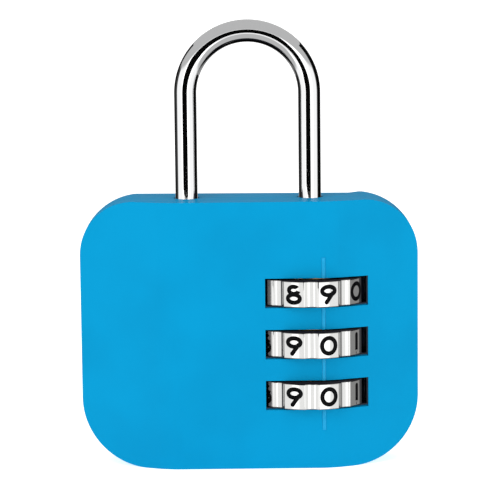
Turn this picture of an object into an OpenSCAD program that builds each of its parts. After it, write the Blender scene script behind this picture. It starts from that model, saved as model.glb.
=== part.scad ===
// Three-dial combination padlock. Two moulded covers close round a split die-cast case, and the
// dials turn on the long leg of the shackle. The front faces -Y, +Z is up, and the origin is the
// centre of the flat base.

/* [Body] */
// Width across the sides
body_w = 48; // [42:0.5:60]
// Height of the body without the shackle
body_h = 38; // [32:0.5:48]
// Thickness between the flat front and the flat back
body_t = 12.4; // [11.8:0.2:14.8]
// Radius of the two top corners, seen from the front
top_corner_r = 8; // [4:0.5:12]
// Radius of the two bottom corners, seen from the front
bottom_corner_r = 9.5; // [4:0.5:12]
// Radius of the edges that run round the front and the back
edge_r = 1.8; // [0.8:0.1:2.4]
// Width of the flat middle of the front
front_flat_w = 23; // [18:0.5:28]
// Angle at which the front falls away on each side of its flat middle
front_flank_angle = 22; // [14:1:24]
// Width of the flat middle of the back
rear_flat_w = 32; // [28:0.5:36]
// Angle at which the back falls away on each side of its flat middle
rear_flank_angle = 30; // [16:1:32]
// Radius that blends a flat into its flank
blend_r = 8; // [2:0.5:10]
// Radius of the two long edges of each side
side_r = 2; // [0.6:0.1:2]
// Wall of the moulded covers
cover_wall = 1.3; // [1:0.1:1.5]
// Wall left round the empty left half of the die-cast case
case_wall = 1.3; // [1:0.1:2]

/* [Shackle] */
// Diameter of the shackle's wire
wire_d = 3.18; // [2.8:0.02:3.8]
// Distance between the centres of the two legs
leg_spacing = 17.5; // [16:0.5:20]
// Clear height inside the shackle, above the body
shackle_rise = 22; // [15:0.5:40]
// How far each fin stands out from the wire
fin_reach = 1.16; // [0.9:0.02:1.2]
// Width of each fin
fin_w = 1.3; // [1:0.1:1.5]
// Height of each fin
fin_h = 1.5; // [1.2:0.1:1.5]

/* [Dials] */
// Diameter of the dials over their number pads
dial_d = 15.8; // [13.4:0.1:16.4]
// Thickness of each dial
dial_t = 3.6; // [3.2:0.1:3.8]
// Distance between the middles of neighbouring dials
dial_pitch = 7.28; // [7.1:0.02:8.6]
// How far the middle dial sits below the middle of the body
stack_drop = 1.2; // [0.8:0.1:2]
// Numbers on each dial
numbers = 10; // [8:1:10]
// Width of the hollow between two number pads
scallop_w = 2.04; // [1.6:0.02:2.2]
// Depth of the hollow between two number pads
scallop_depth = 0.4; // [0.3:0.05:0.5]
// Turn of the number at the index line from straight ahead
index_turn = 17; // [10:1:24]

/* [Hubs] */
// Wall of a hub outside the fins
hub_wall = 1.05; // [0.9:0.05:1.1]
// Height of the narrow part of a hub that a fin passes only through its gate
gate_h = 2.4; // [2:0.1:2.4]
// Width of each lug
lug_w = 0.9; // [0.7:0.1:1]
// Distance that a hub can be pushed down, out of its dial
hub_drop = 1; // [0.9:0.05:1]

/* [Front face] */
// Width of the index line
index_line_w = 0.5; // [0.3:0.05:0.8]
// How far the index line stands proud
index_line_rise = 0.12; // [0.05:0.01:0.2]
// Distance of the index line to the right of the dials' axis
index_line_offset = 1.65; // [1.2:0.05:2]

/* [Fits] */
// Radial gap of the shackle in its bores and of the dials on their hubs
running_gap = 0.08; // [0.05:0.01:0.1]
// Gap between the die-cast case and the covers
cover_gap = 0.1; // [0.05:0.05:0.2]
// Gap between a dial's faces and the case
dial_gap = 0.15; // [0.1:0.05:0.2]
// Gap between a dial's faces and the edges of its window
window_gap = 0.3; // [0.2:0.05:0.4]
// Gap that keeps the fins clear of the hubs that they pass
fin_gap = 0.2; // [0.1:0.05:0.2]

/* [Hidden] */

$fn = 64;
far = 200; // reach of a cut that has to pass right through
slip = 0.01; // lets a cut pass the face that it starts on
seat_gap = 0.02; // between pieces that rest on each other
arc_steps = 6;

wire_r = wire_d / 2;
leg_x = leg_spacing / 2;
arch_z = body_h + shackle_rise - leg_x + wire_r;

// The dial stack, counted from the bottom dial up. It stays clear of the rivets under it.
dial_r = dial_d / 2;
rivet_head_r = 2;
rivet_low_z = cover_wall + cover_gap + 3;
stack_to_rivet = dial_t / 2 + dial_gap + rivet_head_r + 0.3; // heights of a dial and a rivet apart
stack_z = max(body_h / 2 - stack_drop, rivet_low_z + stack_to_rivet + dial_pitch);
dial_z = [stack_z - dial_pitch, stack_z, stack_z + dial_pitch];
pocket_gap = 0.35; // round each dial, in the case
pocket_r = dial_r + pocket_gap;
number_step = 360 / numbers;

// Windows in the covers, and the holes for the shackle's legs
cover_inner_y = body_t / 2 - cover_wall;
cover_hole_gap = 0.25;
window_half_h = dial_t / 2 + window_gap;
window_side_gap = 0.35;
window_right_gap = 0.1; // where the front windows end just past the side of the dials
dial_reach = sqrt(dial_r * dial_r - cover_inner_y * cover_inner_y);
front_window = [leg_x - dial_reach - window_side_gap, leg_x + dial_r + window_right_gap];
rear_window = [leg_x - dial_reach - window_side_gap, leg_x + dial_reach + window_side_gap];
index_line_overrun = 5; // beyond the middle of the top dial, and of the bottom one

// The case, and the space round the shackle's fins
case_inset = cover_wall + cover_gap;
case_y = body_t / 2 - case_inset;
cavity_inset = case_inset + case_wall;
fin_r = wire_r + fin_reach;
chamber_r = fin_r + fin_gap;
hub_r = chamber_r + hub_wall;
hub_pocket_gap = 0.25;
hub_pocket_r = hub_r + hub_pocket_gap;
web_t = 1.2; // metal left between one hub's room and the next
hub_room = (dial_pitch - web_t) / 2;
fin_top = -gate_h / 2 - fin_gap;
// Each fin passes its gate and stops short of the gate of the next hub up
travel_stop = 0.78;
shackle_travel = dial_pitch - travel_stop;
short_leg_clear = 0.5; // height at which the raised short leg stands clear of the body
short_leg_z = body_h - shackle_travel + short_leg_clear;
short_hole_depth = 0.4; // below the tip of the short leg
chamber_top = dial_z[2] + fin_top + shackle_travel + running_gap;
leg_tip_h = 0.5; // chamfer at each end of the wire
leg_tip_in = 0.35;

// The hub, its lugs and the spring under it, from the middle of its dial
hub_end_gap = 0.14;
hub_top = hub_room - hub_end_gap;
hub_bottom = -gate_h / 2;
lugs = floor(numbers / 2);
lug_reach = 0.57;
lug_root = 0.5; // how deep a lug starts inside the hub's wall
lug_gap = 0.1;
lug_r = hub_r + lug_reach;
lug_top = dial_t / 2 - 0.15;
lug_bottom = lug_top - hub_drop + lug_gap;
groove_r = lug_r + running_gap;
relief_r = groove_r + lug_gap;
washer_t = 0.25;
washer_gap = 0.04;
washer_top = hub_bottom - washer_gap;
gate_side_gap = 0.15; // each side of a fin
hub_spring_wire_r = 0.15;
hub_spring_r = (chamber_r + hub_pocket_r) / 2;

// The spring in the lower end of the long leg
seat_bottom = case_inset + 0.1;
seat_t = 1.1;
seat_r = 2.3;
seat_pin_h = 1;
leg_seat_gap = 0.5;
long_leg_z = seat_bottom + seat_t + leg_seat_gap;
spring_pocket_r = 1.05;
spring_pocket_h = 5;
spring_side_gap = 0.1;
shackle_spring_wire_r = 0.14;
shackle_spring_r = spring_pocket_r - shackle_spring_wire_r - spring_side_gap;

// Rivets through both halves of the case
rivet_r = 1.2;
rivet_head_t = 0.7;
rivet_gap = 0.05;
rivet_sink = 0.12; // of a head, under the edge of its flank
rivet_x = rear_flat_w / 2 - 1.6;
rivet_high_z = max(body_h - case_inset - 4.2, dial_z[2] + stack_to_rivet);
rivet_front_y = rivet_sink - flank_y(rivet_x + rivet_head_r, front_flat_w, front_flank_angle);
rivet_rear_y = flank_y(rivet_x + rivet_head_r, rear_flat_w, rear_flank_angle) - rivet_sink;

// The leaf spring that clicks into the dials' hollows
leaf_t = 0.25;
leaf_x = leg_x - pocket_r - 0.3 - leaf_t;
leaf_near_x = leaf_x + seat_gap + leaf_t;
leaf_finger_h = 2.4;
leaf_room = [1.9, 2 * case_y - 1.2]; // across the case, and from front to back
leaf_spine_y = -case_y + 0.8;
leaf_spine_w = 2.2;
detent_turn = index_turn - 3.5 * number_step;
detent_nose_r = 0.4;
detent_gap = 0.05;
detent_rivet_r = 0.45;
detent_rivet_head_r = 0.7;
detent_rivet_head_t = 0.3;
detent_rivet_l = 1;
detent_rivet_z = [dial_z[0] + dial_pitch / 2, dial_z[1] + dial_pitch / 2];

// How far forward or back the case's own flank stands at x
function flank_y(x, flat_w, angle) =
    case_y - max(0, x - flat_w / 2 + case_inset * tan(angle / 2)) * tan(angle);

// Points along the arc that rounds corner q between its neighbours p and s
function unit(v) = v / norm(v);
function rounded(p, q, s, r) =
    let (u = unit(p - q),
         v = unit(s - q),
         half = acos(u * v) / 2,
         middle = q + unit(u + v) * r / sin(half),
         from = q + u * r / tan(half) - middle,
         to = q + v * r / tan(half) - middle,
         start = atan2(from.y, from.x),
         turn = atan2(from.x * to.y - from.y * to.x, from * to))
    [for (i = [0 : arc_steps]) middle + r * [cos(start + turn * i / arc_steps),
                                            sin(start + turn * i / arc_steps)]];
function rounded_outline(points, radii) =
    [for (i = [0 : len(points) - 1])
        each rounded(points[(i + len(points) - 1) % len(points)], points[i],
                     points[(i + 1) % len(points)], radii[i])];

// The body's cross-section seen from above, with every face moved inwards by inset. Deep inside,
// the two flanks meet before they reach the side, so the side moves in to keep a flat between them.
module body_section(inset) {
    half_t = body_t / 2 - inset;
    front_slope = tan(front_flank_angle);
    rear_slope = tan(rear_flank_angle);
    front_x = front_flat_w / 2 - inset * tan(front_flank_angle / 2);
    rear_x = rear_flat_w / 2 - inset * tan(rear_flank_angle / 2);
    soft = max(blend_r - inset, 1);
    side = max(side_r - inset, 0.5);
    meeting_x = (2 * half_t + front_x * front_slope + rear_x * rear_slope) / (front_slope + rear_slope);
    half_w = min(body_w / 2 - inset, meeting_x - 1.3 * side / (front_slope + rear_slope));
    front_side_y = -half_t + (half_w - front_x) * front_slope;
    rear_side_y = half_t - (half_w - rear_x) * rear_slope;
    polygon(rounded_outline(
        [[-front_x, -half_t], [front_x, -half_t], [half_w, front_side_y], [half_w, rear_side_y],
         [rear_x, half_t], [-rear_x, half_t], [-half_w, rear_side_y], [-half_w, front_side_y]],
        [soft, soft, side, side, soft, soft, side, side]));
}

// The body's outline seen from the front
module body_outline(inset) {
    half_w = body_w / 2 - inset;
    top = body_h - inset;
    top_r = max(top_corner_r - inset, 1);
    bottom_r = max(bottom_corner_r - inset, 1);
    polygon(rounded_outline([[-half_w, inset], [half_w, inset], [half_w, top], [-half_w, top]],
                            [bottom_r, bottom_r, top_r, top_r]));
}

// The body's outline seen from the side, as [y, z]
module body_side(inset) {
    half_t = body_t / 2 - inset;
    top = body_h - inset;
    edge = max(edge_r - inset, 0.4);
    polygon(rounded_outline([[-half_t, inset], [half_t, inset], [half_t, top], [-half_t, top]],
                            [edge, edge, edge, edge]));
}

module body_solid(inset) {
    intersection() {
        linear_extrude(far) body_section(inset);
        rotate([90, 0, 0]) linear_extrude(far, center = true) body_outline(inset);
        rotate([90, 0, 90]) linear_extrude(far, center = true) body_side(inset);
    }
}

module front_half() {
    intersection() {
        children();
        translate([-far, -2 * far, -far]) cube(2 * far);
    }
}

module rear_half() {
    intersection() {
        children();
        translate([-far, 0, -far]) cube(2 * far);
    }
}

// A cylinder that stands on the axis of the dial stack, between two heights
module on_stack(r, low, high) {
    translate([leg_x, 0, low]) rotate(45) cylinder(r = r, h = high - low);
}

// A round rod along Y, between two places
module along_y(r, x, z, from, to) {
    translate([x, from, z]) rotate([-90, 0, 0]) cylinder(r = r, h = to - from);
}

module leg_holes(gap, low_short, low_long) {
    translate([-leg_x, 0, low_short]) rotate(45) cylinder(r = wire_r + gap, h = far);
    translate([leg_x, 0, low_long]) rotate(45) cylinder(r = wire_r + gap, h = far);
}

// The covers: shells moulded in two halves, parted at the middle of the thickness
module windows(span, side) {
    for (z = dial_z)
        translate([span[0], side < 0 ? -far : 0, z - window_half_h])
            cube([span[1] - span[0], far, 2 * window_half_h]);
}

module cover_shell() {
    difference() {
        body_solid(0);
        body_solid(cover_wall);
        leg_holes(cover_hole_gap, body_h / 2, body_h / 2);
    }
}

module index_line() {
    line_bottom = dial_z[0] - index_line_overrun;
    line_top = dial_z[2] + index_line_overrun;
    line_root = 0.3; // how deep the line starts inside the cover's wall
    translate([leg_x + index_line_offset - index_line_w / 2, -body_t / 2 - index_line_rise, line_bottom])
        cube([index_line_w, index_line_rise + line_root, line_top - line_bottom]);
}

module front_cover() {
    color([0.02, 0.5, 0.8])
        difference() {
            union() {
                front_half() cover_shell();
                index_line();
            }
            windows(front_window, -1);
        }
}

module rear_cover() {
    color([0.02, 0.5, 0.8])
        difference() {
            rear_half() cover_shell();
            windows(rear_window, 1);
        }
}

// The die-cast case: solid round the dial stack, hollow on the left
module case_solid() {
    difference() {
        body_solid(case_inset);
        intersection() {
            body_solid(cavity_inset);
            translate([-far, -far, rivet_low_z + rivet_head_r])
                cube([far + leaf_x - case_wall, 2 * far,
                      short_leg_z - short_hole_depth - case_wall - rivet_low_z - rivet_head_r]);
        }
        dial_stack_room();
        leg_holes(running_gap, short_leg_z - short_hole_depth, chamber_top - slip);
        on_stack(wire_r + running_gap, seat_bottom, dial_z[0] - hub_room + slip);
        on_stack(seat_r + seat_gap, -far, seat_bottom + seat_t + seat_gap);
        detent_room();
        for (x = [-rivet_x, rivet_x], z = [rivet_low_z, rivet_high_z]) {
            along_y(rivet_r + rivet_gap, x, z, -far, far);
            along_y(rivet_head_r + rivet_gap, x, z, -far, rivet_front_y + rivet_head_t);
            along_y(rivet_head_r + rivet_gap, x, z, rivet_rear_y - rivet_head_t, far);
        }
    }
}

module dial_stack_room() {
    for (z = dial_z) {
        on_stack(pocket_r, z - dial_t / 2 - dial_gap, z + dial_t / 2 + dial_gap);
        on_stack(hub_pocket_r, z - hub_room, z + hub_room);
    }
    on_stack(chamber_r, dial_z[0] - hub_room + slip, chamber_top);
}

module detent_room() {
    translate([leaf_x, -leaf_room.y / 2, dial_z[0] - dial_pitch / 2])
        cube([leaf_room.x, leaf_room.y, 3 * dial_pitch]);
    detent_rivet_holes();
}

module detent_rivet_holes() {
    for (z = detent_rivet_z)
        translate([leaf_near_x, leaf_spine_y + leaf_spine_w / 2, z]) rotate([0, -90, 0])
            cylinder(r = detent_rivet_r + rivet_gap, h = detent_rivet_l + rivet_gap);
}

module case_front() { color("darkgray") front_half() case_solid(); }
module case_rear() { color("darkgray") rear_half() case_solid(); }

module case_rivets() {
    color("gainsboro")
        for (x = [-rivet_x, rivet_x], z = [rivet_low_z, rivet_high_z]) {
            along_y(rivet_r, x, z, rivet_front_y, rivet_rear_y);
            along_y(rivet_head_r, x, z, rivet_front_y, rivet_front_y + rivet_head_t);
            along_y(rivet_head_r, x, z, rivet_rear_y - rivet_head_t, rivet_rear_y);
        }
}

// The shackle: bent wire, with a fin on the long leg for each dial
module shackle() {
    color("silver")
        difference() {
            union() {
                translate([0, 0, arch_z]) rotate([90, 0, 0])
                    rotate_extrude(angle = 180) translate([leg_x, 0]) circle(r = wire_r);
                for (end = [[-leg_x, short_leg_z], [leg_x, long_leg_z]]) {
                    translate([end[0], 0, end[1] + leg_tip_h])
                        cylinder(r = wire_r, h = arch_z - end[1] - leg_tip_h);
                    translate([end[0], 0, end[1]])
                        cylinder(r1 = wire_r - leg_tip_in, r2 = wire_r, h = leg_tip_h);
                }
                for (z = dial_z)
                    translate([leg_x - fin_w / 2, 0, z + fin_top - fin_h]) cube([fin_w, fin_r, fin_h]);
            }
            on_stack(spring_pocket_r, -far, long_leg_z + spring_pocket_h);
        }
}

// A coil of round wire on the axis of the dial stack, closed at both ends
module coil(r, wire, low, high, turns) {
    steps = 14 * turns;
    sides = 6;
    function at(i, k) =
        let (turn = 360 * turns * i / steps, round = 360 * k / sides,
             reach = r + wire * cos(round))
        [reach * cos(turn), reach * sin(turn),
         low + wire + (high - low - 2 * wire) * i / steps + wire * sin(round)];
    rings = [for (i = [0 : steps], k = [0 : sides - 1]) at(i, k)];
    walls = [for (i = [0 : steps - 1], k = [0 : sides - 1])
        let (a = i * sides + k, b = i * sides + (k + 1) % sides)
        each [[a, a + sides, b], [b, a + sides, b + sides]]];
    first = [for (k = [1 : sides - 2]) [0, k, k + 1]];
    last = [for (k = [1 : sides - 2]) [steps * sides, steps * sides + k + 1, steps * sides + k]];
    translate([leg_x, 0, 0]) polyhedron(rings, concat(walls, first, last));
}

module shackle_spring() {
    color("lightgray")
        coil(shackle_spring_r, shackle_spring_wire_r, seat_bottom + seat_t + seat_gap,
             long_leg_z + spring_pocket_h - seat_gap, 12);
}

module spring_seat() {
    color("goldenrod") {
        on_stack(seat_r, seat_bottom, seat_bottom + seat_t);
        on_stack(shackle_spring_r - shackle_spring_wire_r - spring_side_gap,
                 seat_bottom, seat_bottom + seat_t + seat_pin_h);
    }
}

// A dial: ten number pads with a hollow between each two, and grooves inside for the hub's lugs
module dial(z) {
    cutter_r = (scallop_w * scallop_w / 4 + scallop_depth * scallop_depth) / (2 * scallop_depth);
    color("silver")
        translate([leg_x, 0, z])
            difference() {
                translate([0, 0, -dial_t / 2]) cylinder(r = dial_r, h = dial_t, $fn = 128);
                for (i = [0 : numbers - 1])
                    rotate(index_turn - 90 + (i + 0.5) * number_step)
                        translate([dial_r - scallop_depth + cutter_r, 0, -dial_t])
                            cylinder(r = cutter_r, h = 2 * dial_t);
                translate([0, 0, -dial_t]) cylinder(r = hub_r + running_gap, h = 2 * dial_t);
                translate([0, 0, -dial_t]) cylinder(r = relief_r, h = dial_t + lug_bottom - washer_gap);
                for (i = [0 : numbers - 1])
                    rotate(i * number_step)
                        translate([0, -lug_w / 2 - lug_gap, 0])
                            cube([groove_r, lug_w + 2 * lug_gap, dial_t]);
            }
}

// A hub: turns with its dial, and lets a fin pass only where its gate is
module hub(z) {
    color("peru")
        translate([leg_x, 0, z])
            difference() {
                union() {
                    translate([0, 0, hub_bottom]) cylinder(r = hub_r, h = hub_top - hub_bottom);
                    for (i = [0 : lugs - 1])
                        rotate(2 * i * number_step)
                            translate([hub_r - lug_root, -lug_w / 2, lug_bottom])
                                cube([lug_reach + lug_root, lug_w, lug_top - lug_bottom]);
                }
                translate([0, 0, -far]) cylinder(r = wire_r + running_gap, h = 2 * far);
                translate([0, 0, gate_h / 2]) cylinder(r = chamber_r, h = far);
                translate([-fin_w / 2 - gate_side_gap, 0, -far / 2])
                    cube([fin_w + 2 * gate_side_gap, chamber_r, far]);
            }
}

// A washer lets the hub turn on its spring
module hub_washer(z) {
    color("lightgray")
        difference() {
            on_stack(hub_r, z + washer_top - washer_t, z + washer_top);
            on_stack(chamber_r, 0, far);
        }
}

module hub_spring(z) {
    color("lightgray")
        coil(hub_spring_r, hub_spring_wire_r, z - hub_room + seat_gap,
             z + washer_top - washer_t - seat_gap, 2.5);
}

// The detent: one leaf with a finger for each dial, bent into a nose and riveted to the case
module detent_spring() {
    nose_reach = dial_r - scallop_depth + detent_nose_r + detent_gap;
    nose = [leg_x + nose_reach * sin(detent_turn), -nose_reach * cos(detent_turn)];
    bend = nose + [detent_nose_r / sin(43), 0];
    back_x = leaf_x + seat_gap;
    spine_end = leaf_spine_y + leaf_spine_w;
    color("lightsteelblue")
        difference() {
            union() {
                translate([back_x, leaf_spine_y, dial_z[0] - leaf_finger_h / 2])
                    cube([leaf_t, leaf_spine_w, 2 * dial_pitch + leaf_finger_h]);
                for (z = dial_z)
                    translate([0, 0, z - leaf_finger_h / 2])
                        linear_extrude(leaf_finger_h)
                            polygon(rounded_outline(
                                [[back_x, spine_end - 0.5], [leaf_near_x, spine_end - 0.5],
                                 [leaf_near_x, nose.y - 1.5], bend,
                                 [leaf_near_x + 0.3, nose.y + 1.2], [leaf_near_x + 0.1, nose.y + 1],
                                 bend - [0.4, 0], [back_x, nose.y - 1.35]],
                                [0.01, 0.01, 0.3, detent_nose_r, 0.05, 0.05, 0.15, 0.3]));
            }
            detent_rivet_holes();
        }
}

module detent_rivets() {
    color("gainsboro")
        for (z = detent_rivet_z)
            translate([leaf_near_x + seat_gap, leaf_spine_y + leaf_spine_w / 2, z]) rotate([0, -90, 0]) {
                translate([0, 0, -detent_rivet_head_t]) cylinder(r = detent_rivet_head_r, h = detent_rivet_head_t);
                cylinder(r = detent_rivet_r, h = detent_rivet_l);
            }
}

front_cover();
rear_cover();
case_front();
case_rear();
case_rivets();
shackle();
shackle_spring();
spring_seat();
dial(dial_z[0]);  // dial_1
dial(dial_z[1]);  // dial_2
dial(dial_z[2]);  // dial_3
hub(dial_z[0]);  // hub_1
hub(dial_z[1]);  // hub_2
hub(dial_z[2]);  // hub_3
hub_washer(dial_z[0]);  // hub_washer_1
hub_washer(dial_z[1]);  // hub_washer_2
hub_washer(dial_z[2]);  // hub_washer_3
hub_spring(dial_z[0]);  // hub_spring_1
hub_spring(dial_z[1]);  // hub_spring_2
hub_spring(dial_z[2]);  // hub_spring_3
detent_spring();
detent_rivets();
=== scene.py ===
# A three-dial combination padlock in metres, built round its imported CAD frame. Its front faces -Y.
from math import acos, asin, cos, degrees, hypot, pi, radians, sin, tan

import bmesh
import bpy
from mathutils import Matrix, Quaternion, Vector


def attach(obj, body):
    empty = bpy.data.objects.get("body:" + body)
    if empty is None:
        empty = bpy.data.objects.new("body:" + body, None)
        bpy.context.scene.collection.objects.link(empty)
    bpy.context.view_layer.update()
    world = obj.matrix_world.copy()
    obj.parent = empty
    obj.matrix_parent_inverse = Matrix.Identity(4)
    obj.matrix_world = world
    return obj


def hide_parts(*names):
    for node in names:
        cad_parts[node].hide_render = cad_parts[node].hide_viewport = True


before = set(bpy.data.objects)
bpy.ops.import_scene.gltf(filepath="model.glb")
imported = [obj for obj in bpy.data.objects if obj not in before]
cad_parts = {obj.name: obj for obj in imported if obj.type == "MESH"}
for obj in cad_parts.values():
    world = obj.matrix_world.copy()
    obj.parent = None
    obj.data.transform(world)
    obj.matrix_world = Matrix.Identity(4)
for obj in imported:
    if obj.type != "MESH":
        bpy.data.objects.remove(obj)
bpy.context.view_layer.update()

# ---------------------------------------------------------------------------------------------
# The studio: a white sweep under the padlock, and a camera a little above it that looks almost
# straight at the front.
mm = 0.001
camera_distance = 350 * mm
camera_height_angle = radians(7.9)
camera_side_angle = radians(0.2)
camera_roll = radians(0.6)
camera_aim = Vector((0.17 * mm, 0, 30.42 * mm))

towards_camera = Vector((-sin(camera_side_angle) * cos(camera_height_angle),
                         -cos(camera_side_angle) * cos(camera_height_angle),
                         sin(camera_height_angle)))
camera = bpy.data.objects.new("camera", bpy.data.cameras.new("camera"))
bpy.context.scene.collection.objects.link(camera)
camera.data.lens = camera.data.sensor_width * 4.915
camera.rotation_mode = "QUATERNION"
camera.location = camera_aim + towards_camera * camera_distance
camera.rotation_quaternion = (-towards_camera).to_track_quat("-Z", "Y") @ Quaternion((0, 0, 1), -camera_roll)
bpy.context.scene.camera = camera
bpy.context.scene.view_settings.view_transform = "Standard"


class Wire:
    """A socket of a node tree. Arithmetic on it adds Math nodes, and add() adds any other node."""

    def __init__(self, tree, socket=None):
        self.tree, self.socket = tree, socket

    def add(self, kind, settings=None, sockets=None, out=0):
        node = self.tree.nodes.new(kind)
        for name, value in (settings or {}).items():
            if name == "stops":
                ramp = node.color_ramp
                while len(ramp.elements) < len(value):
                    ramp.elements.new(1)
                for element, (place, color) in zip(ramp.elements, value):
                    element.position, element.color = place, (*color, 1)
            else:
                setattr(node, name, value)
        for name, value in (sockets or {}).items():
            if isinstance(value, Wire):
                self.tree.links.new(value.socket, node.inputs[name])
            else:
                node.inputs[name].default_value = value
        return Wire(self.tree, node.outputs[out] if node.outputs else None)

    def math(self, operation, a, b=0.0):
        return self.add("ShaderNodeMath", {"operation": operation}, {0: a, 1: b})

    def __add__(self, other): return self.math("ADD", self, other)
    def __radd__(self, other): return self.math("ADD", other, self)
    def __sub__(self, other): return self.math("SUBTRACT", self, other)
    def __rsub__(self, other): return self.math("SUBTRACT", other, self)
    def __mul__(self, other): return self.math("MULTIPLY", self, other)
    def __rmul__(self, other): return self.math("MULTIPLY", other, self)

    def step(self, low, high):
        """0 below low and 1 above high, with a smooth rise between them."""
        return self.add("ShaderNodeMapRange", {"interpolation_type": "SMOOTHSTEP"},
                        {"Value": self, "From Min": low, "From Max": high})

    def band(self, low, high, soft):
        """1 between low and high, fading to 0 over soft outside them."""
        return self.step(low - soft, low) * (1 - self.step(high, high + soft))


# The light comes from a white room. What polished metal mirrors in it: a bright soft box each
# side of the camera, a grey ceiling and floor, and duller walls to the sides and behind.
world = bpy.data.worlds.new("studio")
world.use_nodes = True
world.node_tree.nodes.clear()
bpy.context.scene.world = world
room = Wire(world.node_tree)
direction = room.add("ShaderNodeTexCoord")
parts = room.add("ShaderNodeSeparateXYZ", sockets={0: direction}).socket.node
across, along, up = (Wire(world.node_tree, parts.outputs[i]) for i in range(3))
turn = room.math("ARCTAN2", across, 0 - along) * degrees(1)
rise = room.math("ARCSINE", up) * degrees(1)
boxes = 0.32 + 0.8 * turn.band(-88, 80, 6) + 0.7 * turn.band(16, 34, 6) + 0.7 * turn.band(-38, -30, 6)
boxes = boxes * (1 - 0.85 * turn.band(-130, -98, 6))
away = rise.band(-26, 14, 7)
under = 1 - along.step(0.05, 0.2) * (1 - up.step(-0.6, -0.4))
mirrored = (boxes * away + 0.55 * (1 - away)) * under
seen = room.add("ShaderNodeLightPath").socket.node
is_camera = Wire(world.node_tree, seen.outputs["Is Camera Ray"])
is_glossy = Wire(world.node_tree, seen.outputs["Is Glossy Ray"])
strength = is_camera * 1.0 + (1 - is_camera) * (is_glossy * mirrored + (1 - is_glossy) * (0.64 + 0.5 * rise.step(30, 80)))
glow = room.add("ShaderNodeBackground", sockets={"Color": (1, 1, 1, 1), "Strength": strength})
room.add("ShaderNodeOutputWorld", sockets={"Surface": glow})

for name, place, size, power in (("key_box", (-0.35, -0.45, 0.45), 0.4, 1.3),
                                 ("fill_box", (0.45, -0.5, 0.25), 0.4, 0.7)):
    light = bpy.data.objects.new(name, bpy.data.lights.new(name, "AREA"))
    light.data.size, light.data.energy = size, power
    light.location = place
    light.rotation_euler = (camera_aim - light.location).to_track_quat("-Z", "Y").to_euler()
    light.visible_glossy = False
    bpy.context.scene.collection.objects.link(light)


def finish(surface, **sockets):
    """Joins a Principled surface with these socket values to the material's output."""
    shader = surface.add("ShaderNodeBsdfPrincipled", sockets=sockets)
    surface.add("ShaderNodeOutputMaterial", sockets={"Surface": shader})
    return surface.material


def new_finish(name):
    """An empty material, and the wire that its nodes are added from."""
    material = bpy.data.materials.new(name)
    material.use_nodes = True
    material.node_tree.nodes.clear()
    surface = Wire(material.node_tree)
    surface.material = material
    return surface


surface = new_finish("white_sweep")
paper = finish(surface, **{"Base Color": (0.8, 0.8, 0.8, 1), "Roughness": 0.9,
                          "Specular IOR Level": 0.0, "Emission Color": (1, 1, 1, 1), "Emission Strength": 0.7})


def piece(name, bm, *materials, crease=30):
    """A new object from a bmesh, with smooth faces and sharp edges where they turn by over crease degrees."""
    for face in bm.faces:
        face.smooth = True
    for edge in bm.edges:
        edge.smooth = not (len(edge.link_faces) == 2 and edge.calc_face_angle(pi) > radians(crease))
    mesh = bpy.data.meshes.new(name)
    bm.to_mesh(mesh)
    bm.free()
    made = bpy.data.objects.new(name, mesh)
    bpy.context.scene.collection.objects.link(made)
    for material in materials:
        made.data.materials.append(material)
    return made


bm = bmesh.new()
bmesh.ops.create_grid(bm, x_segments=1, y_segments=1, size=6)
sweep = piece("sweep", bm, paper)
sweep.visible_glossy = False

# Black cards that only polished metal sees: one towards the camera for the dark line down the
# shackle's legs, and one each side behind it for their dark edges.
surface = new_finish("black_card")
black_card = finish(surface, **{"Base Color": (0.002, 0.002, 0.002, 1), "Roughness": 1, "Specular IOR Level": 0})
for name, from_xy, to_xy, low, high in (("front_card", (-68, -100), (25, -100), 26, 88),
                                        ("right_card", (70, -2), (70, 120), 19, 110),
                                        ("left_card", (-70, 36), (-70, 120), 20, 110)):
    bm = bmesh.new()
    corners = [(*from_xy, low), (*to_xy, low), (*to_xy, high), (*from_xy, high)]
    bmesh.ops.contextual_create(bm, geom=[bm.verts.new(Vector(c) * mm) for c in corners])
    card = piece(name, bm, black_card)
    card.visible_camera = card.visible_diffuse = card.visible_shadow = False

# ---------------------------------------------------------------------------------------------
# The covers: two shells of blue plastic, moulded with a fine satin grain and parted at the
# middle of the thickness. The front is flat in the middle and falls away to each side, and the
# dials show through three windows in each shell.
width, height, thickness = 48 * mm, 38 * mm, 12.4 * mm
wall = 1.3 * mm
front_flat, front_slope = 23 * mm, radians(22)
rear_flat, rear_slope = 32 * mm, radians(30)
dial_x = 8.75 * mm
dial_heights = [10.52 * mm, 17.8 * mm, 25.08 * mm]
front_span, rear_span = (2.2 * mm, 16.75 * mm), (2.2 * mm, 15.3 * mm)
window_height = 4.2 * mm


def everything(bm):
    return bm.verts[:] + bm.edges[:] + bm.faces[:]


def block(bm, low, high):
    """A box between two corners."""
    size = Vector(high) - Vector(low)
    return bmesh.ops.create_cube(bm, size=1, matrix=Matrix.Translation(Vector(low) + size / 2)
                                 @ Matrix.Diagonal((*size, 1)))["verts"]


def bevel(bm, edges, offset, segments, kind="OFFSET"):
    bmesh.ops.bevel(bm, geom=edges, offset=offset, offset_type=kind, segments=segments, profile=0.5,
                    affect="EDGES", clamp_overlap=True, material=-1)


def combine(first, other, operation, crossed=False):
    """The first object with the other added or cut away, as a new bmesh. Both objects are used up.
    crossed is for a cutter whose own parts run through each other."""
    cut = first.modifiers.new("cut", "BOOLEAN")
    cut.operation, cut.object, cut.solver, cut.material_mode = operation, other, "EXACT", "TRANSFER"
    cut.use_self = crossed
    bpy.context.view_layer.update()
    mesh = bpy.data.meshes.new_from_object(first.evaluated_get(bpy.context.evaluated_depsgraph_get()))
    for used in (first, other):
        bpy.data.objects.remove(used)
    bm = bmesh.new()
    bm.from_mesh(mesh)
    bmesh.ops.remove_doubles(bm, verts=bm.verts, dist=0.0005 * mm)
    return bm


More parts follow.
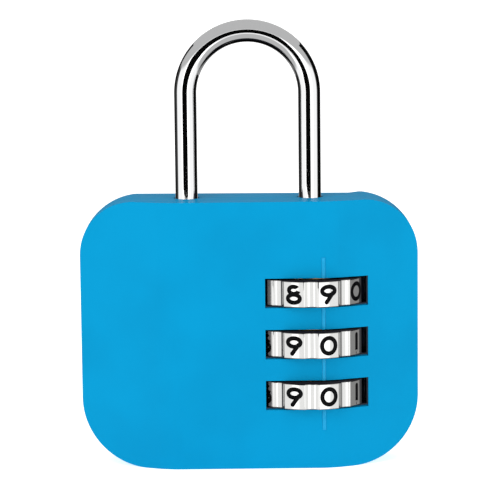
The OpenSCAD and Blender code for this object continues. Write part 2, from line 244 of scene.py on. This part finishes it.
def body_blank(inset, rounding):
    """A closed solid with the covers' outer shape, with every face moved inwards by inset."""
    bm = bmesh.new()
    half_width, half_depth = width / 2 - inset, thickness / 2 - inset
    block(bm, (-half_width, -half_depth, inset), (half_width, half_depth, height - inset))
    for radius, is_end in ((8 * mm, lambda z: z > height / 2), (9.5 * mm, lambda z: z < height / 2)):
        corners = [e for e in bm.edges if abs(e.verts[0].co.y - e.verts[1].co.y) > mm
                   and abs(e.verts[0].co.x) > half_width - 0.01 * mm and is_end(e.verts[0].co.z)]
        bevel(bm, corners, radius - inset, 24)
    ridges = []
    for face_y, flat, slope in ((-1, front_flat, front_slope), (1, rear_flat, rear_slope)):
        for side in (-1, 1):
            ridge = Vector((side * (flat / 2 - inset * tan(slope / 2)), face_y * half_depth, 0))
            cut = bmesh.ops.bisect_plane(bm, geom=everything(bm), plane_co=ridge, clear_outer=True,
                                         plane_no=(side * sin(slope), face_y * cos(slope), 0))["geom_cut"]
            bmesh.ops.contextual_create(bm, geom=[e for e in cut if isinstance(e, bmesh.types.BMEdge)])
            ridges.append((ridge, slope))
    for ridge, slope in ridges:
        edges = [e for e in bm.edges if all((v.co - ridge).xy.length < 0.01 * mm for v in e.verts)]
        bevel(bm, edges, (8 * mm - inset) * tan(slope / 2), 8)
    rim = [e for e in bm.edges if len(e.link_faces) == 2
           and min(abs(f.normal.y) for f in e.link_faces) < 0.01
           and max(abs(f.normal.y) for f in e.link_faces) > 0.5]
    bevel(bm, rim, rounding, 8, "WIDTH")
    bmesh.ops.remove_doubles(bm, verts=bm.verts, dist=0.002 * mm)
    bmesh.ops.recalc_face_normals(bm, faces=bm.faces)
    return bm


def half_shell(side):
    """One cover's shell: side is -1 for the front and 1 for the rear."""
    bm = body_blank(0, 2.25 * mm)
    cut = bmesh.ops.bisect_plane(bm, geom=everything(bm), plane_co=(0, 0, 0), plane_no=(0, -side, 0),
                                 clear_outer=True)["geom_cut"]
    lip = [e for e in cut if isinstance(e, bmesh.types.BMEdge)]
    bmesh.ops.contextual_create(bm, geom=lip)
    bevel(bm, [e for e in lip if e.is_valid], 0.12 * mm, 2)
    bmesh.ops.recalc_face_normals(bm, faces=bm.faces)
    return combine(piece("blank", bm), piece("core", body_blank(wall, 0.7 * mm)), "DIFFERENCE")


def outer_edges(bm, is_near):
    """Sharp edges where a cut meets the outside of a cover, near a place."""
    found = []
    for e in bm.edges:
        middle = (e.verts[0].co + e.verts[1].co) / 2
        if len(e.link_faces) == 2 and is_near(middle) and e.calc_face_angle(0) > radians(50):
            found.append(e)
    return found


def surface_depth(x, side):
    """How far forward or back the outside of a cover stands at x."""
    flat, slope = (front_flat, front_slope) if side < 0 else (rear_flat, rear_slope)
    return side * (thickness / 2 - max(0, abs(x) - flat / 2) * tan(slope))


def even_normals(made):
    """Lets the large faces set the shading, so that a small rounded edge doesn't bend it."""
    weigh = made.modifiers.new("even_normals", "WEIGHTED_NORMAL")
    weigh.keep_sharp, weigh.weight = True, 80


surface = new_finish("blue_satin_plastic")
place = surface.add("ShaderNodeTexCoord", out=3)
grain = surface.add("ShaderNodeTexNoise", sockets={"Vector": place, "Scale": 5200, "Detail": 3})
cloud = surface.add("ShaderNodeTexNoise", sockets={"Vector": place, "Scale": 90, "Detail": 2})
handled = surface.add("ShaderNodeTexNoise", sockets={"Vector": place, "Scale": 420, "Detail": 4, "Roughness": 0.65})
tint = surface.add("ShaderNodeMix", {"data_type": "RGBA"},
                   {0: cloud.step(0.3, 0.7), 6: (0.0, 0.257, 0.505, 1), 7: (0.0, 0.280, 0.545, 1)}, out=2)
relief = surface.add("ShaderNodeBump", sockets={"Strength": 0.12, "Distance": 0.02 * mm, "Height": grain})
blue_plastic = finish(surface, **{"Base Color": tint, "Roughness": 0.36 + 0.12 * handled, "Normal": relief,
                                      "Specular IOR Level": 0.04})

# The index line is the same plastic, coloured a lighter blue all over as a painted highlight for the light along its
# raised crest, with a random speckle in its tone and gloss
surface = new_finish("index_line_painted_highlight")
place = surface.add("ShaderNodeTexCoord", out=3)
index_speckle = surface.add("ShaderNodeTexNoise", sockets={"Vector": place, "Scale": 1800, "Detail": 3})
tint = surface.add("ShaderNodeMix", {"data_type": "RGBA"},
                   {0: index_speckle.step(0.3, 0.7), 6: (0.006, 0.31, 0.59, 1), 7: (0.014, 0.34, 0.63, 1)}, out=2)
highlit_index_blue = finish(surface, **{"Base Color": tint, "Roughness": 0.3 + 0.15 * index_speckle, "Specular IOR Level": 0.12})

for name, side, span in (("front_cover_shell", -1, front_span), ("rear_cover_shell", 1, rear_span)):
    bm = half_shell(side)
    if side < 0:
        line = bmesh.new()
        block(line, (10.15 * mm, -6.32 * mm, 5.52 * mm), (10.65 * mm, -5.9 * mm, 30.08 * mm))
        bevel(line, [e for e in line.edges if all(v.co.y < -6.3 * mm for v in e.verts)], 0.11 * mm, 3)
        bm = combine(piece("blank", bm, blue_plastic), piece("index_line", line, highlit_index_blue), "UNION")
    windows = bmesh.new()
    for z in dial_heights:
        block(windows, (span[0], min(side * 12 * mm, side * mm), z - window_height / 2),
              (span[1], max(side * 12 * mm, side * mm), z + window_height / 2))
    bm = combine(piece("blank", bm, blue_plastic, highlit_index_blue), piece("windows", windows, blue_plastic), "DIFFERENCE")
    bevel(bm, outer_edges(bm, lambda p: any(abs(p.z - z) < window_height / 2 + 0.01 * mm for z in dial_heights)
                          and span[0] - 0.01 * mm < p.x < span[1] + 0.01 * mm
                          and abs(p.y) > abs(surface_depth(p.x, side)) - 0.7 * mm), 0.1 * mm, 3)
    holes = bmesh.new()
    for x in (-dial_x, dial_x):
        bmesh.ops.create_cone(holes, cap_ends=True, segments=64, radius1=1.84 * mm, radius2=1.84 * mm, depth=6 * mm,
                              matrix=Matrix.Translation((x, 0, height)) @ Matrix.Rotation(0.05, 4, "Z"))
    bm = combine(piece("blank", bm, blue_plastic, highlit_index_blue), piece("leg_holes", holes, blue_plastic), "DIFFERENCE")
    bevel(bm, outer_edges(bm, lambda p: p.z > height - 0.01 * mm
                          and any(abs(hypot(p.x - x, p.y) - 1.84 * mm) < 0.1 * mm for x in (-dial_x, dial_x))),
          0.15 * mm, 3)
    shell = piece(name, bm, blue_plastic, highlit_index_blue)
    shell.visible_glossy = False
    even_normals(shell)
    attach(shell, "lock_body")
    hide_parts(name.replace("_shell", ""))

# ---------------------------------------------------------------------------------------------
# The shackle: one length of steel wire bent to a U, with a fin pressed out of its long leg for
# each dial and a blind bore for the lift spring in the end. It is polished and chromium plated.
wire_r = 1.583 * mm
arch_z = 52.84 * mm
short_end, long_end = 32 * mm, 3.1 * mm

surface = new_finish("chrome_wire")
place = surface.add("ShaderNodeTexCoord", out=3)
wander = surface.add("ShaderNodeTexNoise", sockets={"Vector": place, "Scale": 260, "Detail": 1})
marks = surface.add("ShaderNodeTexNoise", sockets={"Vector": place, "Scale": 3000, "Detail": 3, "Roughness": 0.7})
relief = surface.add("ShaderNodeBump", sockets={"Strength": 0.06, "Distance": 0.05 * mm, "Height": wander})
shine = surface.add("ShaderNodeMix", {"data_type": "RGBA"},
                    {0: marks, 6: (0.80, 0.81, 0.82, 1), 7: (0.86, 0.86, 0.86, 1)}, out=2)
chrome_wire = finish(surface, **{"Base Color": shine, "Metallic": 1, "Normal": relief,
                                 "Roughness": 0.03 + 0.05 * marks.step(0.45, 0.75)})

bm = bmesh.new()
ring = bmesh.ops.create_circle(bm, segments=48, radius=wire_r, matrix=Matrix.Translation((dial_x, 0, arch_z)))["verts"]
start = ring + list({e for v in ring for e in v.link_edges})
end = bmesh.ops.spin(bm, geom=start, cent=(0, 0, arch_z), axis=(0, -1, 0), angle=pi, steps=72)["geom_last"]
for loop, tip_z in ((end, short_end), (start, long_end)):
    edges = [e for e in loop if isinstance(e, bmesh.types.BMEdge)]
    x = sum(e.verts[0].co.x for e in edges) / len(edges)
    for drop, scale in ((arch_z - tip_z - 0.5 * mm, 1), (0.15 * mm, 0.97), (0.35 * mm, 0.78)):
        grown = bmesh.ops.extrude_edge_only(bm, edges=edges)["geom"]
        edges = [e for e in grown if isinstance(e, bmesh.types.BMEdge)]
        moved = [v for v in grown if isinstance(v, bmesh.types.BMVert)]
        bmesh.ops.translate(bm, verts=moved, vec=(0, 0, -drop))
        bmesh.ops.scale(bm, verts=moved, vec=(scale, scale, 1), space=Matrix.Translation((-x, 0, 0)))
    bmesh.ops.contextual_create(bm, geom=edges)
bmesh.ops.recalc_face_normals(bm, faces=bm.faces)
fins = bmesh.new()
for z in dial_heights:
    block(fins, (dial_x - 0.65 * mm, 0, z - 2.9 * mm), (dial_x + 0.65 * mm, 2.75 * mm, z - 1.4 * mm))
bevel(fins, fins.edges[:], 0.12 * mm, 2)
bore = bmesh.new()
bmesh.ops.create_cone(bore, cap_ends=True, segments=32, radius1=1.05 * mm, radius2=1.05 * mm, depth=10 * mm,
                      matrix=Matrix.Translation((dial_x, 0, long_end)))
bm = combine(piece("blank", bm), piece("fins", fins), "UNION")
bm = combine(piece("blank", bm), piece("bore", bore), "DIFFERENCE")
wire = piece("shackle_wire", bm, chrome_wire)
even_normals(wire)
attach(wire, "shackle")
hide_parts("shackle")

# ---------------------------------------------------------------------------------------------
# The dials: die-cast rings with ten number pads and a hollow between each two. They are chromium
# plated, and each number is sunk into its pad and filled with black enamel.
dial_r, dial_t = 7.9 * mm, 3.6 * mm
number_step = radians(36)
index_angle = radians(-73)
hollow_r, hollow_at = 1.5005 * mm, 9.0005 * mm
stroke_r = 0.32 * mm
half_hollow = acos((dial_r ** 2 + hollow_at ** 2 - hollow_r ** 2) / (2 * dial_r * hollow_at))
half_cut = asin(dial_r * sin(half_hollow) / hollow_r)

surface = new_finish("chrome_dial")
place = surface.add("ShaderNodeTexCoord", out=3)
wander = surface.add("ShaderNodeTexNoise", sockets={"Vector": place, "Scale": 420, "Detail": 2})
marks = surface.add("ShaderNodeTexNoise", sockets={"Vector": place, "Scale": 3800, "Detail": 3, "Roughness": 0.7})
relief = surface.add("ShaderNodeBump", sockets={"Strength": 0.12, "Distance": 0.05 * mm, "Height": wander})
shine = surface.add("ShaderNodeMix", {"data_type": "RGBA"},
                    {0: marks, 6: (0.66, 0.66, 0.65, 1), 7: (0.74, 0.74, 0.73, 1)}, out=2)
chrome_dial = finish(surface, **{"Base Color": shine, "Metallic": 1, "Normal": relief,
                                 "Roughness": 0.06 + 0.08 * marks.step(0.4, 0.75)})

surface = new_finish("black_enamel")
place = surface.add("ShaderNodeTexCoord", out=3)
brushed = surface.add("ShaderNodeTexNoise", sockets={"Vector": place, "Scale": 2600, "Detail": 2})
relief = surface.add("ShaderNodeBump", sockets={"Strength": 0.2, "Distance": 0.03 * mm, "Height": brushed})
black_enamel = finish(surface, **{"Base Color": (0.002, 0.002, 0.003, 1), "Roughness": 0.4 + 0.2 * brushed,
                                  "Normal": relief, "Specular IOR Level": 0.12})

# Each number's strokes, in millimetres from the middle of its pad: an arc is its centre, its two
# radii and the angles where it starts and ends, and a point joins on with a straight line.
numerals = [
    [[(0, 0, 1.0, 1.1, 0, 360)]],
    [[(0, 1.1), (0, -1.1)]],
    [[(0, 0.48, 0.84, 0.62, 165, -35), (-0.85, -1.1), (0.9, -1.1)]],
    [[(0, 0.55, 0.74, 0.55, 150, -90), (0, -0.55, 0.88, 0.55, 90, -150)]],
    [[(0.4, -1.1), (0.4, 1.1), (-0.92, -0.45), (0.92, -0.45)]],
    [[(0.75, 1.1), (-0.6, 1.1), (-0.7, 0.15), (-0.02, -0.38, 0.9, 0.72, 135, -150)]],
    [[(0, -0.5, 0.93, 0.6, 0, 360)], [(-0.62, -0.15), (0.28, 1.1)]],
    [[(-0.88, 1.1), (0.88, 1.1), (-0.25, -1.1)]],
    [[(0, 0.62, 0.7, 0.5, 0, 360)], [(0, -0.56, 0.88, 0.57, 0, 360)]],
    [[(0, 0.5, 0.93, 0.6, 0, 360)], [(0.62, 0.15), (-0.28, -1.1)]],
]


def stroke_points(stroke):
    points = []
    for part in stroke:
        if len(part) == 2:
            points.append(part)
        else:
            x, z, across, high, first, last = part
            points += [(x + across * cos(radians(first + (last - first) * i / 28)),
                        z + high * sin(radians(first + (last - first) * i / 28))) for i in range(29)]
    return points


def numeral_cutters():
    """Round-ended tubes along every number's strokes, wrapped round a dial at the origin."""
    bm = bmesh.new()
    for number, strokes in enumerate(numerals):
        for stroke in strokes:
            points = stroke_points(stroke)
            closed = hypot(points[0][0] - points[-1][0], points[0][1] - points[-1][1]) < 0.001
            path = bpy.data.curves.new("stroke", "CURVE")
            path.dimensions, path.bevel_depth, path.bevel_resolution = "3D", stroke_r, 3
            path.use_fill_caps = not closed
            line = path.splines.new("POLY")
            line.points.add(len(points) - 1 - closed)
            for point, (x, z) in zip(line.points, points):
                point.co = (x * mm, 0, z * mm, 1)
            line.use_cyclic_u = closed
            tube = bpy.data.objects.new("stroke", path)
            bpy.context.scene.collection.objects.link(tube)
            mesh = bpy.data.meshes.new_from_object(tube)
            bpy.data.objects.remove(tube)
            before = len(bm.verts)
            bm.from_mesh(mesh)
            bmesh.ops.remove_doubles(bm, verts=bm.verts[:], dist=0.001 * mm)
            if not closed:
                for x, z in (points[0], points[-1]):
                    bmesh.ops.create_uvsphere(bm, u_segments=12, v_segments=8, radius=stroke_r * 0.995,
                                              matrix=Matrix.Translation((x * mm, 0, z * mm)))
            bm.verts.ensure_lookup_table()
            for v in bm.verts[before:]:
                angle = index_angle + number * number_step + v.co.x / dial_r
                reach = dial_r + v.co.y
                v.co = (reach * cos(angle), reach * sin(angle), v.co.z)
    bmesh.ops.recalc_face_normals(bm, faces=bm.faces)
    return bm


bm = bmesh.new()
corner = Matrix.Rotation(index_angle + half_hollow - number_step / 2, 3, "Z") @ Vector((dial_r, 0, -dial_t / 2))
edge_point = bm.verts.new(corner)
pad = bmesh.ops.spin(bm, geom=[edge_point], cent=(0, 0, 0), axis=(0, 0, 1), steps=18,
                     angle=number_step - 2 * half_hollow)["geom_last"]
middle = Matrix.Rotation(index_angle + number_step / 2, 3, "Z") @ Vector((hollow_at, 0, 0))
bmesh.ops.spin(bm, geom=pad, cent=middle, axis=(0, 0, 1), angle=-2 * half_cut, steps=16)
bmesh.ops.spin(bm, geom=bm.verts[:] + bm.edges[:], cent=(0, 0, 0), axis=(0, 0, 1), angle=2 * pi, steps=10,
               use_duplicate=True)
bmesh.ops.remove_doubles(bm, verts=bm.verts, dist=0.01 * mm)
bmesh.ops.contextual_create(bm, geom=bm.edges[:])
up = [v for v in bmesh.ops.extrude_face_region(bm, geom=bm.faces[:])["geom"] if isinstance(v, bmesh.types.BMVert)]
bmesh.ops.translate(bm, verts=up, vec=(0, 0, dial_t))
bmesh.ops.recalc_face_normals(bm, faces=bm.faces)
bevel(bm, [e for e in bm.edges if e.calc_face_angle(0) > radians(28)], 0.09 * mm, 2)
blank = piece("blank", bm, chrome_dial)

bore = bmesh.new()
bmesh.ops.create_cone(bore, cap_ends=True, segments=96, radius1=4.08 * mm, radius2=4.08 * mm, depth=2 * dial_t)
for i in range(10):
    grown = bmesh.ops.create_cube(bore, size=1, matrix=Matrix.Rotation(i * number_step, 4, "Z")
                                  @ Matrix.Translation((4.1 * mm, 0, 1.2 * mm))
                                  @ Matrix.Diagonal((1.1 * mm, 1.1 * mm, 2.4 * mm, 1)))
bm = combine(blank, piece("bore", bore, chrome_dial), "DIFFERENCE", crossed=True)
dial_blank = piece("blank", bm, chrome_dial)
numbers = piece("numbers", numeral_cutters(), black_enamel)
bm = combine(dial_blank, numbers, "DIFFERENCE", crossed=True)
master = piece("dial_master", bm, chrome_dial, black_enamel)

for number, (z, shown) in enumerate(zip(dial_heights, (0, 0, 9)), 1):
    bm = bmesh.new()
    bm.from_mesh(master.data)
    bmesh.ops.transform(bm, verts=bm.verts, matrix=Matrix.Translation((dial_x, 0, z))
                        @ Matrix.Rotation(-shown * number_step, 4, "Z"))
    ring = piece(f"numbered_dial_{number}", bm, chrome_dial, black_enamel, crease=20)
    even_normals(ring)
    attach(ring, f"dial_{number}")
    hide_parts(f"dial_{number}")
bpy.data.objects.remove(master)

# ---------------------------------------------------------------------------------------------
# The case: two zinc die castings that hold the dial stack, coloured a near-black blue as painted shade, so that
# the pockets behind the windows look dark. Their surface is slightly grainy, as it left the die.
surface = new_finish("painted_shade_zinc")
place = surface.add("ShaderNodeTexCoord", out=3)
skin = surface.add("ShaderNodeTexNoise", sockets={"Vector": place, "Scale": 2400, "Detail": 5, "Roughness": 0.7})
flow = surface.add("ShaderNodeTexNoise", sockets={"Vector": place, "Scale": 140, "Detail": 2, "Distortion": 1.5})
relief = surface.add("ShaderNodeBump", sockets={"Strength": 0.3, "Distance": 0.04 * mm, "Height": skin})
# painted shade: these dark blue-blacks stand for the shade inside the windows, not the zinc's own colour
tint = surface.add("ShaderNodeMix", {"data_type": "RGBA"},
                   {0: flow.step(0.35, 0.7), 6: (0.004, 0.007, 0.022, 1), 7: (0.010, 0.014, 0.034, 1)}, out=2)
painted_shade_zinc = finish(surface, **{"Base Color": tint, "Roughness": 0.42 + 0.25 * skin, "Normal": relief,
                                 "Specular IOR Level": 0.4})
for name in ("case_front", "case_rear"):
    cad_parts[name].data.materials.clear()
    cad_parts[name].data.materials.append(painted_shade_zinc)

# ---------------------------------------------------------------------------------------------
# Steel small parts: the case rivets with their upset heads, the detent leaf and its rivets, and
# the thrust washers. All are zinc plated, with streaks left where they were drawn or rolled.
surface = new_finish("plated_steel")
place = surface.add("ShaderNodeTexCoord", out=3)
drawn = surface.add("ShaderNodeMapping", sockets={"Vector": place, "Scale": (1, 1, 0.08)})
streaks = surface.add("ShaderNodeTexNoise", sockets={"Vector": drawn, "Scale": 4200, "Detail": 4, "Roughness": 0.6})
spots = surface.add("ShaderNodeTexNoise", sockets={"Vector": place, "Scale": 900, "Detail": 2})
relief = surface.add("ShaderNodeBump", sockets={"Strength": 0.25, "Distance": 0.02 * mm, "Height": streaks})
tint = surface.add("ShaderNodeMix", {"data_type": "RGBA"},
                   {0: spots.step(0.35, 0.65), 6: (0.50, 0.51, 0.52, 1), 7: (0.64, 0.64, 0.62, 1)}, out=2)
plated_steel = finish(surface, **{"Base Color": tint, "Metallic": 1, "Normal": relief,
                                  "Roughness": 0.24 + 0.2 * streaks})
for name in ("case_rivets", "detent_spring", "detent_rivets", "hub_washer_1", "hub_washer_2", "hub_washer_3"):
    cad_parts[name].data.materials.clear()
    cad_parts[name].data.materials.append(plated_steel)

# ---------------------------------------------------------------------------------------------
# The hubs and the seat under the lift spring: turned from brass bar, with fine rings left by the
# tool across every face and the lugs milled afterwards. The metal has dulled a little.
surface = new_finish("turned_brass")
place = surface.add("ShaderNodeTexCoord", out=3)
rings = surface.add("ShaderNodeTexWave", {"bands_direction": "Z"}, {"Vector": place, "Scale": 900, "Distortion": 1.5})
dulled = surface.add("ShaderNodeTexNoise", sockets={"Vector": place, "Scale": 700, "Detail": 3})
relief = surface.add("ShaderNodeBump", sockets={"Strength": 0.2, "Distance": 0.02 * mm, "Height": rings})
tint = surface.add("ShaderNodeMix", {"data_type": "RGBA"},
                   {0: dulled.step(0.35, 0.7), 6: (0.76, 0.53, 0.19, 1), 7: (0.55, 0.36, 0.12, 1)}, out=2)
turned_brass = finish(surface, **{"Base Color": tint, "Metallic": 1, "Normal": relief,
                                  "Roughness": 0.2 + 0.25 * dulled})
for name in ("hub_1", "hub_2", "hub_3", "spring_seat"):
    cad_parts[name].data.materials.clear()
    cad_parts[name].data.materials.append(turned_brass)

# ---------------------------------------------------------------------------------------------
# The coil springs: one lifts the shackle and one under each hub keeps it up in its dial. They are
# wound from hard-drawn music wire, blued grey by the heat that sets them.
surface = new_finish("spring_wire")
place = surface.add("ShaderNodeTexCoord", out=3)
drawing = surface.add("ShaderNodeTexNoise", sockets={"Vector": place, "Scale": 5200, "Detail": 3, "Roughness": 0.6})
heat = surface.add("ShaderNodeTexNoise", sockets={"Vector": place, "Scale": 500, "Detail": 1})
relief = surface.add("ShaderNodeBump", sockets={"Strength": 0.15, "Distance": 0.01 * mm, "Height": drawing})
tint = surface.add("ShaderNodeMix", {"data_type": "RGBA"},
                   {0: heat.step(0.35, 0.65), 6: (0.33, 0.34, 0.37, 1), 7: (0.45, 0.44, 0.42, 1)}, out=2)
spring_wire = finish(surface, **{"Base Color": tint, "Metallic": 1, "Normal": relief,
                                 "Roughness": 0.22 + 0.18 * drawing})
for name in ("shackle_spring", "hub_spring_1", "hub_spring_2", "hub_spring_3"):
    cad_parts[name].data.materials.clear()
    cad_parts[name].data.materials.append(spring_wire)
